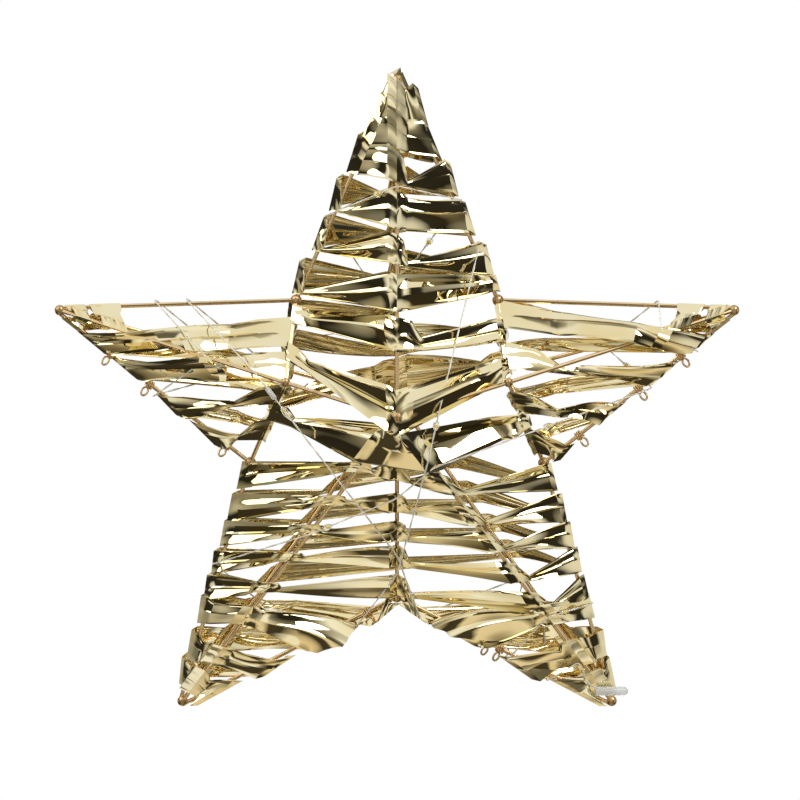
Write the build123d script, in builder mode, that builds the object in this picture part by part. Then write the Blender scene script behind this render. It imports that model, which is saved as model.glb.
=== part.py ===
"""Tree-top star: a brazed wire frame wound with film ribbon and a string of small lights.

The star stands in the XZ plane and faces -Y.  The origin is the notch between the two legs,
where the tree's leader goes up into the star.  All sizes are in millimetres.
"""

import os
from math import cos, dist, radians, sin, tan
from typing import NamedTuple

from build123d import *

os.makedirs("parts", exist_ok=True)

# Frame: outline corners, measured from the notch
TOP_TIP_Z = 193.0
SIDE_TIP_X = 126.0
SIDE_TIP_Z = 107.0
LEG_TIP_X = 81.0
LEG_TIP_Z = -41.0
SHOULDER_X = 37.0
SHOULDER_Z = 110.0
HIP_X = 54.0
HIP_Z = 50.0
APEX_Z = 70.0
HALF_DEPTH = 32.0

# Frame: wire and brazed joints
WIRE_D = 1.5
EDGE_TIP_SETBACK = 2.4
RIDGE_TIP_SETBACK = 3.6
CORNER_SETBACK = 1.7
APEX_SETBACK = 2.1
BRACE_SETBACK = 1.3
TIP_WELD_D = 3.9
TIP_WELD_INSET = 2.5
CORNER_WELD_D = 4.2
APEX_WELD_D = 5.4
BRACE_WELD_D = 3.4
BRACE_ROOT_SHARE = 0.68

# Ribbon: film width, thickness and the way it is wound
RIBBON_WIDTH = 10.0
RIBBON_T = 0.25
GATHER_WIDTH = 2.4
GATHER_T = 0.5
RIBBON_GAP = 0.45
WRAP_HALF_WIDTH = 0.8
FAN_FOLD_DEPTH = 0.9
FAN_FOLD_PLACE_SHARE = 0.45
FOLD_SLANT = 2.2
NARROW_SHARE = 0.68

# Light string
LIGHT_WIRE_D = 0.9
LIGHT_GAP = 2.2
LIGHT_CROSSING_RISE = 2.4
LIGHT_EDGE_HALF_WIDTH = 2.2
LIGHT_BEND = 4.0
BEAD_LENGTH = 3.4
BEAD_D = 2.4
BEAD_ROUND = 0.9
BORE_CLEARANCE = 0.06
END_SLEEVE_LENGTH = 11.8
END_SLEEVE_D = 3.3
END_SLEEVE_ROUND = 1.2
END_SLEEVE_OVERHANG = 6.2
END_SLEEVE_STANDOFF = 6.0
END_SLEEVE_GRIP = 7.0
END_SLEEVE_PLACE_SHARE = 0.075
LIGHT_LEAD_IN = 2.5
SPLICE_LENGTH = 5.0
SPLICE_D = 1.9

# Wire eyes
EYE_WIRE_D = 0.8
EYE_RING_D = 4.0
EYE_TURNS = 3
EYE_CLEARANCE = 0.05
EYE_BITE = 0.25
EYE_TILT = 50.0

WIRE_R = WIRE_D / 2
RIBBON_OFFSET = WIRE_R + RIBBON_GAP + RIBBON_T / 2
LIGHT_OFFSET = RIBBON_OFFSET + LIGHT_GAP
DOWN = Vector(0, 0, -1)
FRONT = Vector(0, -1, 0)


class Wire3(NamedTuple):
    """A straight frame wire from its outer end to its inner end, and the side that faces out."""

    start: Vector
    end: Vector
    outward: Vector

    def at(self, share):
        return self.start + (self.end - self.start) * share

    @property
    def direction(self):
        return (self.end - self.start).normalized()


def across(vector, direction):
    """The part of a vector square to a unit direction, as a unit vector."""
    return (vector - direction * vector.dot(direction)).normalized()


# Corner points of the frame
CENTRE = Vector(0, 0, APEX_Z)
APEX = {"front": Vector(0, -HALF_DEPTH, APEX_Z), "back": Vector(0, HALF_DEPTH, APEX_Z)}
NOTCH = Vector(0, 0, 0)
TIPS = {
    "top": Vector(0, 0, TOP_TIP_Z),
    "left": Vector(-SIDE_TIP_X, 0, SIDE_TIP_Z),
    "right": Vector(SIDE_TIP_X, 0, SIDE_TIP_Z),
    "left_leg": Vector(-LEG_TIP_X, 0, LEG_TIP_Z),
    "right_leg": Vector(LEG_TIP_X, 0, LEG_TIP_Z),
}
SHOULDERS = {"left": Vector(-SHOULDER_X, 0, SHOULDER_Z), "right": Vector(SHOULDER_X, 0, SHOULDER_Z)}
HIPS = {"left": Vector(-HIP_X, 0, HIP_Z), "right": Vector(HIP_X, 0, HIP_Z)}


def outline_wire(tip, corner):
    """An outline edge, whose outward side lies in the star's plane, away from the centre."""
    direction = (corner - tip).normalized()
    square = direction.cross(FRONT)
    if square.dot((tip + corner) * 0.5 - CENTRE) < 0:
        square = square * -1
    return Wire3(tip, corner, square)


def depth_wire(start, end, face):
    """A ridge, spine or brace on the front or back face."""
    outward = FRONT if face == "front" else FRONT * -1
    return Wire3(start, end, across(outward, (end - start).normalized()))


WIRES = {}
for side in ("left", "right"):
    leg = f"{side}_leg"
    WIRES[f"edge_top_{side}"] = outline_wire(TIPS["top"], SHOULDERS[side])
    WIRES[f"edge_{side}_upper"] = outline_wire(TIPS[side], SHOULDERS[side])
    WIRES[f"edge_{side}_lower"] = outline_wire(TIPS[side], HIPS[side])
    WIRES[f"edge_{leg}_outer"] = outline_wire(TIPS[leg], HIPS[side])
    WIRES[f"edge_{leg}_inner"] = outline_wire(TIPS[leg], NOTCH)
for face, apex in APEX.items():
    for arm, tip in TIPS.items():
        WIRES[f"ridge_{face}_{arm}"] = depth_wire(tip, apex, face)
    WIRES[f"spine_{face}"] = depth_wire(NOTCH, apex, face)
    for side in ("left", "right"):
        root = WIRES[f"ridge_{face}_{side}"].at(BRACE_ROOT_SHARE)
        WIRES[f"brace_{side}_{face}_upper"] = depth_wire(SHOULDERS[side], root, face)
        WIRES[f"brace_{side}_{face}_lower"] = depth_wire(HIPS[side], root, face)


# Where each ribbon touches the frame: wire, place along it and width there, all as shares

def mirrored(contacts):
    """The same winding on the other side of the star."""
    swap = {"left": "right", "right": "left"}
    return [("_".join(swap.get(word, word) for word in wire.split("_")), place, width)
            for wire, place, width in contacts]


def top_arm_shares():
    """Seven turns from the tip down to the shoulders, closer together near the tip."""
    left_places_share = (0.10, 0.215, 0.365, 0.545, 0.73, 0.905)
    front_places_share = (0.085, 0.17, 0.275, 0.395, 0.515, 0.635)
    right_places_share = (0.165, 0.32, 0.485, 0.665, 0.85)
    back_places_share = (0.125, 0.225, 0.34, 0.46, 0.585)
    contacts = [("edge_top_right", 0.085, NARROW_SHARE)]
    for left, front, right, back in zip(left_places_share, front_places_share,
                                        right_places_share, back_places_share):
        contacts.append(("edge_top_left", left, 1))
        contacts.append(("ridge_front_top", front, 1))
        contacts.append(("edge_top_right", right, 1))
        contacts.append(("ridge_back_top", back, 1))
    contacts.append(("edge_top_left", left_places_share[-1], 1))
    contacts.append(("ridge_front_top", front_places_share[-1], 1))
    contacts.append(("edge_top_right", 0.94, 0.5))
    return contacts


SHOULDER_SHARES = [
    ("ridge_back_top", 0.70, 1),
    ("brace_left_back_upper", 0.17, NARROW_SHARE),
    ("brace_left_front_upper", 0.17, NARROW_SHARE),
    ("ridge_front_top", 0.765, 1),
    ("brace_right_front_upper", 0.41, NARROW_SHARE),
    ("brace_right_back_upper", 0.41, NARROW_SHARE),
    ("ridge_back_top", 0.82, 1),
    ("brace_left_back_upper", 0.62, NARROW_SHARE),
    ("brace_left_front_upper", 0.62, NARROW_SHARE),
    ("ridge_front_top", 0.89, 1),
    ("brace_right_front_upper", 0.84, NARROW_SHARE),
    ("brace_right_back_upper", 0.84, NARROW_SHARE),
    ("ridge_back_top", 0.93, 1),
    ("ridge_back_left", 0.83, 1),
    ("brace_left_back_lower", 0.66, NARROW_SHARE),
    ("brace_left_front_lower", 0.66, NARROW_SHARE),
    ("ridge_front_left_leg", 0.915, 1),
    ("ridge_front_right_leg", 0.895, 1),
    ("brace_right_front_lower", 0.55, NARROW_SHARE),
    ("brace_right_back_lower", 0.55, NARROW_SHARE),
]


def waist_shares():
    """Five turns round both legs, from the hips down to the notch."""
    outer_left_share = (0.93, 0.816, 0.703, 0.589, 0.475)
    ridge_left_share = (0.83, 0.73, 0.63, 0.53, 0.43)
    spine_share = (0.71, 0.555, 0.40, 0.245, 0.09)
    ridge_right_share = (0.78, 0.68, 0.58, 0.48, 0.38)
    outer_right_share = (0.93, 0.818, 0.705, 0.593, 0.48)
    behind_right_share = tuple(place - 0.03 for place in ridge_left_share[:-1])
    behind_left_share = tuple(place - 0.05 for place in ridge_right_share[:-1])
    contacts = []
    for turn in range(len(spine_share)):
        contacts.append(("edge_left_leg_outer", outer_left_share[turn], 1))
        contacts.append(("ridge_front_left_leg", ridge_left_share[turn], 1))
        contacts.append(("spine_front", spine_share[turn], 1))
        contacts.append(("ridge_front_right_leg", ridge_right_share[turn], 1))
        contacts.append(("edge_right_leg_outer", outer_right_share[turn], 1))
        if turn < len(behind_right_share):
            contacts.append(("ridge_back_right_leg", behind_right_share[turn], 1))
            contacts.append(("ridge_back_left_leg", behind_left_share[turn], 1))
    return contacts


def side_arm_shares(side, rows):
    """Level rows along a side arm, from the braces at its root out to its lower edge and back."""
    contacts = []
    for part, brace_place, edge_place, edge_width in rows:
        contacts.append((f"brace_{side}_back_{part}", brace_place, NARROW_SHARE))
        contacts.append((f"brace_{side}_front_{part}", brace_place, NARROW_SHARE))
        contacts.append((f"edge_{side}_lower", edge_place, edge_width))
    return contacts


LEFT_ARM_ROW_SHARES = [
    ("upper", 0.39, 0.20, 1),
    ("upper", 0.85, 0.38, 1),
    ("lower", 0.87, 0.60, 1),
    ("lower", 0.43, 0.78, 1),
]
RIGHT_ARM_ROW_SHARES = [
    ("upper", 0.17, 0.20, 1),
    ("upper", 0.64, 0.40, 1),
    ("lower", 0.80, 0.65, 1),
    ("lower", 0.30, 0.91, NARROW_SHARE),
]
LEFT_TIP_SHARES = [
    ("ridge_back_left", 0.085, NARROW_SHARE),
    ("edge_left_upper", 0.095, NARROW_SHARE),
    ("ridge_front_left", 0.085, NARROW_SHARE),
    ("edge_left_lower", 0.095, NARROW_SHARE),
    ("ridge_back_left", 0.15, 1),
    ("edge_left_upper", 0.20, 1),
    ("ridge_front_left", 0.18, 1),
]

LEFT_LEG_SHARES = [
    ("edge_left_leg_outer", 0.35, 1),
    ("ridge_front_left_leg", 0.275, 1),
    ("edge_left_leg_inner", 0.70, 1),
    ("ridge_back_left_leg", 0.225, 1),
    ("edge_left_leg_outer", 0.24, 1),
    ("ridge_front_left_leg", 0.18, 1),
    ("edge_left_leg_inner", 0.41, 1),
    ("ridge_back_left_leg", 0.135, 1),
    ("edge_left_leg_outer", 0.125, NARROW_SHARE),
    ("ridge_front_left_leg", 0.095, NARROW_SHARE),
    ("edge_left_leg_inner", 0.18, NARROW_SHARE),
]

RIGHT_LEG_SHARES = mirrored(LEFT_LEG_SHARES)

# Light string: its route over the wires, and what is threaded on each run and where on the run
LIGHT_ROUTE_SHARES = [
    ("ridge_front_right_leg", 0.17),
    ("edge_right_leg_inner", 0.30),
    ("ridge_back_right_leg", 0.33),
    ("edge_right_leg_outer", 0.418),
    ("ridge_front_right_leg", 0.325),
    ("edge_right_leg_inner", 0.485),
    ("ridge_back_right_leg", 0.42),
    ("edge_right_leg_inner", 0.88),
    ("spine_front", 0.26),
    ("ridge_front_left_leg", 0.77),
    ("ridge_front_left", 0.60),
    ("edge_left_upper", 0.55),
    ("ridge_back_left", 0.62),
    ("edge_left_lower", 0.53),
    ("ridge_front_left", 0.46),
    ("edge_left_upper", 0.42),
    ("ridge_back_left", 0.48),
    ("ridge_back_top", 0.77),
    ("edge_top_left", 0.64),
    ("ridge_front_top", 0.335),
    ("edge_top_right", 0.57),
    ("ridge_back_top", 0.645),
    ("edge_top_right", 0.755),
    ("ridge_front_right", 0.88),
    ("ridge_front_right_leg", 0.87),
    ("spine_front", 0.17),
    ("edge_left_leg_inner", 0.80),
    ("ridge_back_left_leg", 0.35),
    ("edge_left_leg_outer", 0.58),
    ("ridge_front_left_leg", 0.62),
    ("spine_front", 0.60),
    ("ridge_front_right_leg", 0.84),
    ("edge_right_lower", 0.475),
    ("ridge_back_right", 0.40),
    ("edge_right_upper", 0.34),
    ("ridge_front_right", 0.24),
    ("edge_right_lower", 0.24),
]
LIGHT_CROSSINGS = (24, 25, 29, 30)
BEAD_SHARES = [
    (3, 0.62),
    (7, 0.35),
    (9, 0.68),
    (12, 0.50),
    (16, 0.50),
    (18, 0.74),
    (20, 0.50),
    (23, 0.38),
    (26, 0.50),
    (29, 0.20),
    (31, 0.52),
    (32, 0.50),
]
SPLICE_SHARES = (9, 0.83)

# Wire eyes: the edge each one is wound on and its place along it
EYE_SHARES = [
    ("eye_left_outer", "edge_left_lower", 0.292),
    ("eye_left_middle", "edge_left_lower", 0.49),
    ("eye_left_inner", "edge_left_lower", 0.885),
    ("eye_right_outer", "edge_right_lower", 0.305),
    ("eye_right_middle", "edge_right_lower", 0.52),
    ("eye_right_inner", "edge_right_lower", 0.82),
    ("eye_right_leg_outer", "edge_right_leg_inner", 0.528),
    ("eye_right_leg_inner", "edge_right_leg_inner", 0.582),
    ("eye_left_leg", "edge_left_leg_inner", 0.86),
]


def write(part, label):
    """Label one finished piece and write it."""
    part.label = label
    export_step(part, f"parts/{label}.step")


def rod(start, end, diameter):
    """A straight round wire between two points."""
    run = end - start
    with BuildPart() as wire:
        with BuildSketch(Plane(origin=start, z_dir=run)):
            Circle(diameter / 2)
        extrude(amount=run.length)
    return wire.part


def setbacks(name):
    """How far short of its two corner points a frame wire is cut."""
    if name.startswith("edge"):
        return EDGE_TIP_SETBACK, CORNER_SETBACK
    if name.startswith("ridge"):
        return RIDGE_TIP_SETBACK, APEX_SETBACK
    if name.startswith("spine"):
        return CORNER_SETBACK, APEX_SETBACK
    return CORNER_SETBACK, BRACE_SETBACK


# Frame wires
frame = {}
for name, wire in WIRES.items():
    outer, inner = setbacks(name)
    frame[name] = rod(wire.start + wire.direction * outer, wire.end - wire.direction * inner, WIRE_D)
    write(frame[name], name)


def weld(seats, diameter):
    """Brazed beads, each at a point and turned to the wire it sits on, cut where the wires run into it."""
    with BuildPart() as beads:
        for centre, axis in seats:
            touching = [wire for wire in frame.values() if wire.distance_to(centre) < diameter / 2]
            with Locations(Plane(origin=centre, z_dir=axis)):
                Sphere(diameter / 2)
            add(touching, mode=Mode.SUBTRACT)
    return beads.part


def tip_seat(tip):
    """A tip's bead lies a little way in along the arm."""
    inward = (CENTRE - tip).normalized()
    return tip + inward * TIP_WELD_INSET, inward


brace_seats = [(WIRES[f"brace_{side}_{face}_upper"].end, WIRES[f"ridge_{face}_{side}"].direction)
               for side in ("left", "right") for face in APEX]
corner_seats = [(corner, FRONT) for corner in (*SHOULDERS.values(), *HIPS.values(), NOTCH)]
write(weld([tip_seat(tip) for tip in TIPS.values()], TIP_WELD_D), "tip_welds")
write(weld(corner_seats, CORNER_WELD_D), "corner_welds")
write(weld(brace_seats, BRACE_WELD_D), "brace_welds")
for face, apex in APEX.items():
    write(weld([(apex, FRONT)], APEX_WELD_D), f"apex_weld_{face}")


class Section(NamedTuple):
    """One cross section of a ribbon: its middle, width direction, outward side, size and fold."""

    centre: Vector
    along: Vector
    outward: Vector
    width: float
    thickness: float
    fold: float


def folded_fan(gather, base):
    """The section part way along a fan, where the film is folded in along its middle."""

    def between(first, second):
        return first + (second - first) * FAN_FOLD_PLACE_SHARE

    edge_to_edge = between(gather.along * gather.width, base.along * base.width)
    along = edge_to_edge.normalized()
    return Section(between(gather.centre, base.centre), along,
                   across(between(gather.outward, base.outward), along),
                   edge_to_edge.length, RIBBON_T, FAN_FOLD_DEPTH)


def ribbon_sections(contacts):
    """The ribbon arrives fanned out at each wire and leaves gathered at its low end, in a folded fan."""
    points = [WIRES[wire].at(place) for wire, place, width in contacts]
    sections = []
    for number, (name, place, width) in enumerate(contacts):
        wire = WIRES[name]
        here = points[number]
        before = points[number - 1] if number else None
        after = points[number + 1] if number + 1 < len(points) else None
        outward = wire.outward
        if before and after and not name.startswith("spine"):
            pull = (before - here).normalized() + (after - here).normalized()
            outward = across(pull * -1, wire.direction)
        travel = (after or here) - (before or here)
        sideways = wire.direction.cross(outward)
        along = wire.direction
        if sideways.dot(travel) < 0:
            sideways = sideways * -1
            along = along * -1
        low_side = 1 if along.dot(DOWN) > 0 else -1
        slant = FOLD_SLANT if before and name.startswith(("ridge_front", "spine_front")) else 0
        arriving = across(here - before, along) if before else sideways
        length = RIBBON_WIDTH * width
        seat = here + outward * RIBBON_OFFSET
        low = seat - sideways * WRAP_HALF_WIDTH + along * (low_side * length / 2)
        high = low - along * (low_side * length) - arriving * slant
        fan = (low - high).normalized() * low_side
        base = Section((low + high) * 0.5, fan, across(outward, fan), (low - high).length, RIBBON_T, 0)
        if sections:
            sections.append(folded_fan(sections[-1], base))
        sections.append(base)
        gather = seat + sideways * WRAP_HALF_WIDTH + along * (low_side * (length - GATHER_WIDTH) / 2)
        sections.append(Section(gather, along, outward, GATHER_WIDTH, GATHER_T, 0))
    return sections


def corners(section):
    """A section's corners: high, middle and low on the outer side, then low, middle and high inside."""
    across_film = section.along * (section.width / 2)
    through_film = section.outward * (section.thickness / 2)
    folded = section.centre - section.outward * section.fold
    line = (section.centre - across_film, folded, section.centre + across_film)
    return [point + through_film for point in line] + [point - through_film for point in reversed(line)]


def facets(*points):
    """A four-cornered stretch of film as two flat facets, creased from its second corner."""
    first, second, third, fourth = points
    return [Face(Wire.make_polygon([first, second, fourth])), Face(Wire.make_polygon([second, third, fourth]))]


def least_gap(sections):
    """The least distance between points of the ribbon's middle line that are a turn apart."""
    samples_share = (0, 0.25, 0.5, 0.75)
    line = []
    for first, second in zip(sections, sections[1:]):
        line.extend(first.centre + (second.centre - first.centre) * share for share in samples_share)
    sections_apart = 5
    apart = sections_apart * len(samples_share)
    return min((p - q).length for i, p in enumerate(line) for q in line[i + apart:])


def ribbon(label, contacts):
    """One unbroken length of film wound over the wires, in flat facets as stiff film folds."""
    sections = ribbon_sections(contacts)
    rings = [corners(section) for section in sections]
    skin = []
    for high, middle, low, low_in, middle_in, high_in in (rings[0], rings[-1]):
        skin += facets(high, middle, middle_in, high_in)
        skin += facets(middle, low, low_in, middle_in)
    sides = ((0, 1), (1, 2), (2, 3), (4, 3), (5, 4), (5, 0))
    for ring, following in zip(rings, rings[1:]):
        for first, second in sides:
            skin += facets(ring[first], ring[second], following[second], following[first])
    with BuildPart() as film:
        add(Solid(Shell(skin)))
    print(f"{label}: {len(contacts)} wires passed, least gap between turns {least_gap(sections):.1f} mm")
    write(film.part, label)


ribbon("ribbon_top_arm", top_arm_shares())
ribbon("ribbon_shoulders", SHOULDER_SHARES)
ribbon("ribbon_waist", waist_shares())
ribbon("ribbon_left_arm", side_arm_shares("left", LEFT_ARM_ROW_SHARES))
ribbon("ribbon_right_arm", side_arm_shares("right", RIGHT_ARM_ROW_SHARES))
ribbon("ribbon_left_tip", LEFT_TIP_SHARES)
ribbon("ribbon_right_tip", mirrored(LEFT_TIP_SHARES))
ribbon("ribbon_left_leg", LEFT_LEG_SHARES)
ribbon("ribbon_right_leg", RIGHT_LEG_SHARES)


# Light string: the end sleeve lies across the right leg's outer edge, and the wire starts in it
sleeve_out = Vector(1, 0, 0)
sleeve_far = (WIRES["edge_right_leg_outer"].at(END_SLEEVE_PLACE_SHARE)
              + FRONT * END_SLEEVE_STANDOFF + sleeve_out * END_SLEEVE_OVERHANG)
sleeve_near = sleeve_far - sleeve_out * END_SLEEVE_LENGTH


def light_stops():
    """The route's corners at each wire: one point over a ridge, and one each side of an outline wire."""
    stops = []
    faces = [WIRES[name].outward for name, place in LIGHT_ROUTE_SHARES]
    for number, (name, place) in enumerate(LIGHT_ROUTE_SHARES):
        wire = WIRES[name]
        rise = LIGHT_CROSSING_RISE if number in LIGHT_CROSSINGS else 0
        here = wire.at(place) + wire.outward * (LIGHT_OFFSET + rise)
        came_over_front = faces[number - 1].dot(FRONT) > 0
        first = FRONT if came_over_front else FRONT * -1
        if not name.startswith("edge"):
            stops.append([here])
        elif number + 1 < len(LIGHT_ROUTE_SHARES):
            stops.append([here + first * LIGHT_EDGE_HALF_WIDTH, here - first * LIGHT_EDGE_HALF_WIDTH])
        else:
            stops.append([here + first * LIGHT_EDGE_HALF_WIDTH])
    return stops


def least_run_gap(path):
    """The least clear distance between points of the light wire that are a bend or more apart."""
    samples = 1200
    bends_apart = 3
    line = [tuple(path @ (number / samples)) for number in range(samples + 1)]
    apart = round(bends_apart * LIGHT_BEND / path.length * samples)
    return min(dist(p, q) for i, p in enumerate(line) for q in line[i + apart:]) - LIGHT_WIRE_D


def bend_radii(points):
    """A bend at each corner, no larger than its two runs leave room for."""
    run_share = 0.45
    radii = []
    for before, here, after in zip(points, points[1:], points[2:]):
        turn = (here - before).get_angle(after - here)
        room = run_share * min((here - before).length, (after - here).length)
        radii.append(min(LIGHT_BEND, room / tan(radians(turn) / 2)))
    return radii


stops = light_stops()
route = [sleeve_near + sleeve_out * END_SLEEVE_GRIP, sleeve_near - sleeve_out * LIGHT_LEAD_IN]
for stop in stops:
    route.extend(stop)
radii = bend_radii(route)
print(f"light wire: least bend radius {min(radii):.2f} mm")
with BuildPart() as light_wire:
    with BuildLine():
        path = FilletPolyline(*route, radius=radii)
    with BuildSketch(Plane(origin=route[0], z_dir=route[1] - route[0])):
        Circle(LIGHT_WIRE_D / 2)
    sweep()
print(f"light wire: {path.length:.0f} mm long, volume {light_wire.part.volume:.0f} mm3")
print(f"light wire: least gap between its runs {least_run_gap(path):.2f} mm")
write(light_wire.part, "light_wire")


# Resin beads, splice sleeve and end sleeve, threaded on the light wire
BORE_R = LIGHT_WIRE_D / 2 + BORE_CLEARANCE


def run_plane(run, share):
    """A plane square to a straight run of the light wire, at a share of the run."""
    start, end = stops[run][-1], stops[run + 1][0]
    return Plane(origin=start + (end - start) * share, z_dir=end - start)


with BuildPart() as light_beads:
    with Locations(*(run_plane(run, share) for run, share in BEAD_SHARES)):
        Cylinder(BEAD_D / 2, BEAD_LENGTH)
    fillet(light_beads.edges().filter_by(GeomType.CIRCLE), BEAD_ROUND)
    with Locations(*(run_plane(run, share) for run, share in BEAD_SHARES)):
        Cylinder(BORE_R, BEAD_LENGTH, mode=Mode.SUBTRACT)
write(light_beads.part, "light_beads")

with BuildPart() as splice_sleeve:
    with BuildSketch(run_plane(*SPLICE_SHARES)):
        Circle(SPLICE_D / 2)
        Circle(BORE_R, mode=Mode.SUBTRACT)
    extrude(amount=SPLICE_LENGTH / 2, both=True)
write(splice_sleeve.part, "splice_sleeve")

with BuildPart() as end_sleeve:
    with BuildSketch(Plane(origin=sleeve_near, z_dir=sleeve_out)):
        Circle(END_SLEEVE_D / 2)
    extrude(amount=END_SLEEVE_LENGTH)
    fillet(end_sleeve.edges().group_by(Axis.X)[-1], END_SLEEVE_ROUND)
    with BuildSketch(Plane(origin=sleeve_near, z_dir=sleeve_out)):
        Circle(BORE_R)
    extrude(amount=END_SLEEVE_GRIP + BORE_CLEARANCE, mode=Mode.SUBTRACT)
write(end_sleeve.part, "end_sleeve")


# Wire eyes: a collar of turns round an outline wire with a ring standing out from it
COLLAR_IN_R = WIRE_R + EYE_CLEARANCE
COLLAR_OUT_R = COLLAR_IN_R + EYE_WIRE_D
for label, name, place in EYE_SHARES:
    wire = WIRES[name]
    lean = wire.direction * cos(radians(EYE_TILT)) + FRONT * sin(radians(EYE_TILT))
    ring_centre = wire.at(place) + wire.outward * (COLLAR_OUT_R + EYE_RING_D / 2 - EYE_BITE)
    with BuildPart() as eye:
        with BuildSketch(Plane(origin=wire.at(place), z_dir=wire.direction)):
            Circle(COLLAR_OUT_R)
            Circle(COLLAR_IN_R, mode=Mode.SUBTRACT)
        extrude(amount=EYE_TURNS * EYE_WIRE_D / 2, both=True)
        with Locations(Plane(origin=ring_centre, x_dir=lean, z_dir=wire.outward.cross(lean))):
            Torus((EYE_RING_D - EYE_WIRE_D) / 2, EYE_WIRE_D / 2)
    write(eye.part, label)
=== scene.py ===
"""Looks of the tree-top star: bright film ribbon, gold wire, a string of small lights, and the studio.

Everything is in metres in the part's own frame: the star stands in the XZ plane and faces -Y.
"""

import math
import random
from typing import NamedTuple

import bpy
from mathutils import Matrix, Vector


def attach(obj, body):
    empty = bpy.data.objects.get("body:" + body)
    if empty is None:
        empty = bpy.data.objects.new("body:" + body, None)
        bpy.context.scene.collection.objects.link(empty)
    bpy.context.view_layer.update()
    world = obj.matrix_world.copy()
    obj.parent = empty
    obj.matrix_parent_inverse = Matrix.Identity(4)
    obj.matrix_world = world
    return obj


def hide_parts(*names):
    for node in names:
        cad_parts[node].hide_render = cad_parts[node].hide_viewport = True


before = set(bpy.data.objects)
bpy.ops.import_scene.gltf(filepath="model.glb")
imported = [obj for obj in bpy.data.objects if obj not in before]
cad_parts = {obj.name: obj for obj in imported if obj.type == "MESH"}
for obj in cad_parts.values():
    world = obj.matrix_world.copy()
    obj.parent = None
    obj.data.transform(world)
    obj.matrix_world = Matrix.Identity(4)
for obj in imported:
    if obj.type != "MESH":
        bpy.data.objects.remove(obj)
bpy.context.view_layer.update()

# Star: outline corners from the notch
TOP_TIP_Z = 0.193
SIDE_TIP_X = 0.126
SIDE_TIP_Z = 0.107
LEG_TIP_X = 0.081
LEG_TIP_Z = -0.041
SHOULDER_X = 0.037
SHOULDER_Z = 0.110
HIP_X = 0.054
HIP_Z = 0.050
APEX_Z = 0.070
HALF_DEPTH = 0.032
BRACE_ROOT_SHARE = 0.68
WIRE_R = 0.00075

# Film ribbon: how it sits on the wires, and its widths there as shares of its own width
FILM_T = 0.00010
FILM_CLEARANCE = 0.00035
FILM_OFFSET = WIRE_R + FILM_CLEARANCE
FILM_PUFF = 0.0009
FILM_CREASE = math.radians(20)
LOOSE_FROM_SHARE = 1.1
SEAT_SHIFT = 0.0012
WIDTH_RANGE = (0.86, 1.14)
NARROW_SHARE = 0.68
GATHER_SHARE = 0.24
CAP_SHARE = 0.78
BACK_WIDTH_SHARE = 0.76
BACK_BRACE_SHARE = 0.42
LEFT_RIDGE_SHARE = 0.38
RIGHT_RIDGE_SHARE = 0.85
SPINE_SHARE = 0.75
FLAKE_SHARE = 1.25
FLAKES_LAST_SHARE = 0.22
FIRST_SEED = 11
SEED_STEP = 7

# Film that stands off an outline wire, at the lower and at the upper end of its seat
FLARES = {
    "edge_top": (0.0003, 0.0023),
    "_outer": (0.0002, 0.0015),
    "_inner": (0.0026, 0.0006),
    "_left_lower": (0.0014, 0.0003),
    "_right_lower": (0.0014, 0.0003),
}
FLARES_FIRST_SHARE = 0.12
FLARE_RANGE = (0.2, 1.5)

# Film between two wires: a cone that leaves the wire, a neck, and a fan that reaches the next wire
CONE_LOW_SHARE = 0.3
CONE_HIGH_SHARE = 0.6
CONE_NARROWING_SHARE = 0.22
CONE_PLEAT_SHARE = 0.3
CONE_FOLD_SHARE = 0.5
NECK_LAST_SHARE = 0.4
FLAKE_NECK_SHARE = 0.85
TAPER_SHARE = 0.6
NECK_TAPER_SHARE = 0.7
TAPER_PLEAT_SHARE = 0.9
TAPER_FOLD_SHARE = 0.6
TAPER_LEAVE_SHARE = 0.2
TAPER_LEAVE_PLEAT_SHARE = 0.55
FAN_SHOULDER_REACH = 0.0035
FAN_SHOULDER_RISE = 0.0016
FAN_SHOULDER_PLEAT_SHARE = 0.3
FAN_SAG = 0.0011
RIDGE_CLEARANCE = 0.0042
RIDGE_PASS_RANGE = (0.08, 0.92)

# Creases along the film, strip by strip from its low edge: width weights, and tilts that may go either way
STRIP_WEIGHTS = ((0.35, 0.7), (1.7, 2.6), (0.3, 0.5), (0.4, 0.7), (1.0, 1.7), (0.3, 0.5), (0.35, 0.7))
STRIP_TILTS = (
    (0.8, 1.2, True),
    (-0.2, 0.2, False),
    (0.5, 0.9, False),
    (-0.5, -0.9, False),
    (-0.45, 0.45, False),
    (0.5, 0.8, True),
    (0.7, 1.1, True),
)
EVEN_STRIP_SHARE = 1 / len(STRIP_WEIGHTS)
STRIP_COLUMNS = 3
STRIP_BOW = 0.11
PLEAT_ANGLE = 0.75
TURN_RANGE = (0.6, 1.0)
BACK_CREASE_SHARE = 0.35
FULL_CREASE_SPAN = 0.034
CREASE_ONSET = 3
STAGE_ROWS = (4, 5, 12, 4)
FAN_STAGE = 2


class Film(NamedTuple):
    """One ribbon: its width, its neck after each wire, and how far it crumples and turns."""

    width: float
    neck_width: float
    neck_reach: float
    crumple: float
    twist: float


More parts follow.
